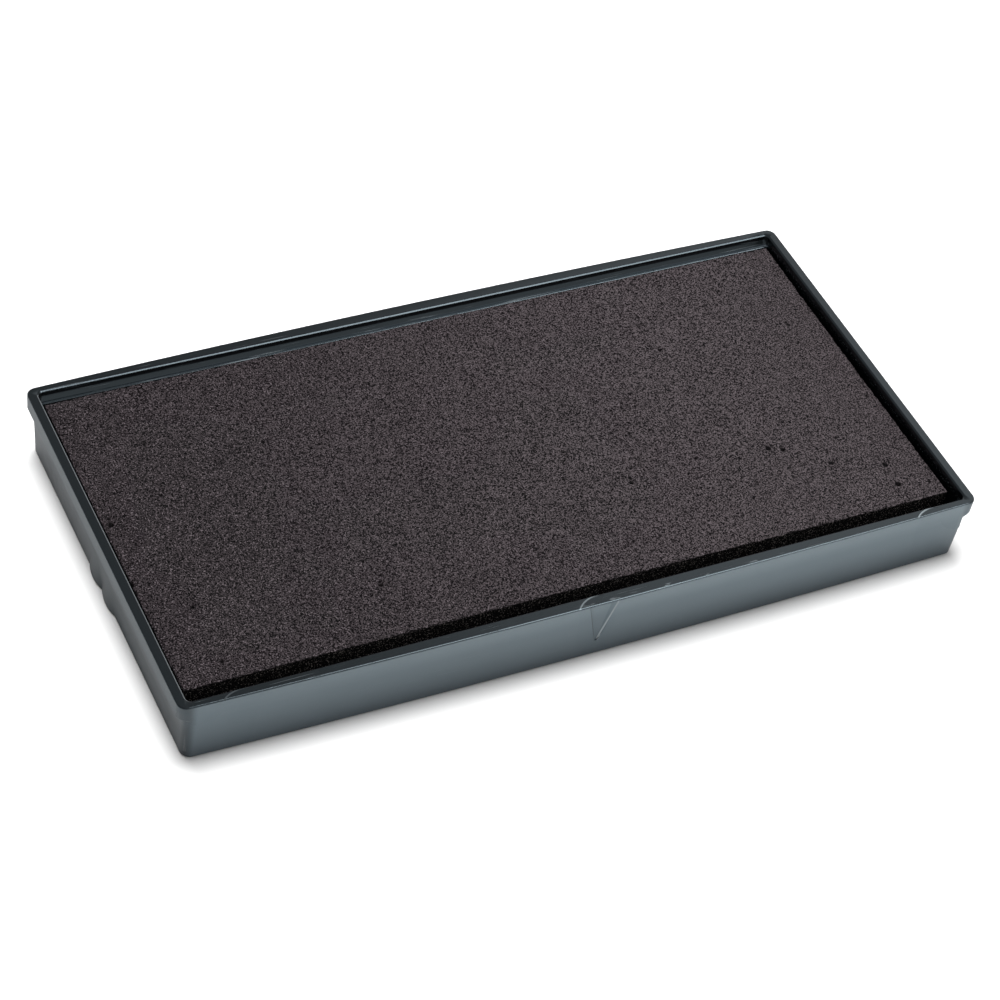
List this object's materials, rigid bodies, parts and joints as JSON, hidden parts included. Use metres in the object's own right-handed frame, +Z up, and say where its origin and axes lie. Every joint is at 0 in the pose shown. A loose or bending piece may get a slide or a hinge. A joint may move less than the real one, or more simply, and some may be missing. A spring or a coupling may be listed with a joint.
{
  "type": "ink pad cartridge",
  "caption": "Rectangular replacement ink pad for a self-inking stamp: a shallow moulded tray with end flanges holding an inked foam pad over a felt reservoir.",
  "frame": {"origin": "middle of the tray's flat underside", "axes": "+X along the length, +Y from the long side with the arrow to the plain long side, +Z up through the open face of the pad"},
  "size_m": [0.0794, 0.042, 0.0072],
  "materials": {
    "tray_plastic": "injection-moulded charcoal plastic with a satin sheen",
    "inked_foam": "open-pored foam soaked in black ink, fine mottled grain with small dark pores",
    "inked_felt": "dense felt soaked in black ink",
    "film": "thin double-sided adhesive film"
  },
  "bodies": {
    "root": {"tray": "tray_plastic", "adhesive_film": "film", "reservoir_felt": "inked_felt", "ink_foam": "inked_foam"}
  },
  "joints": []
}
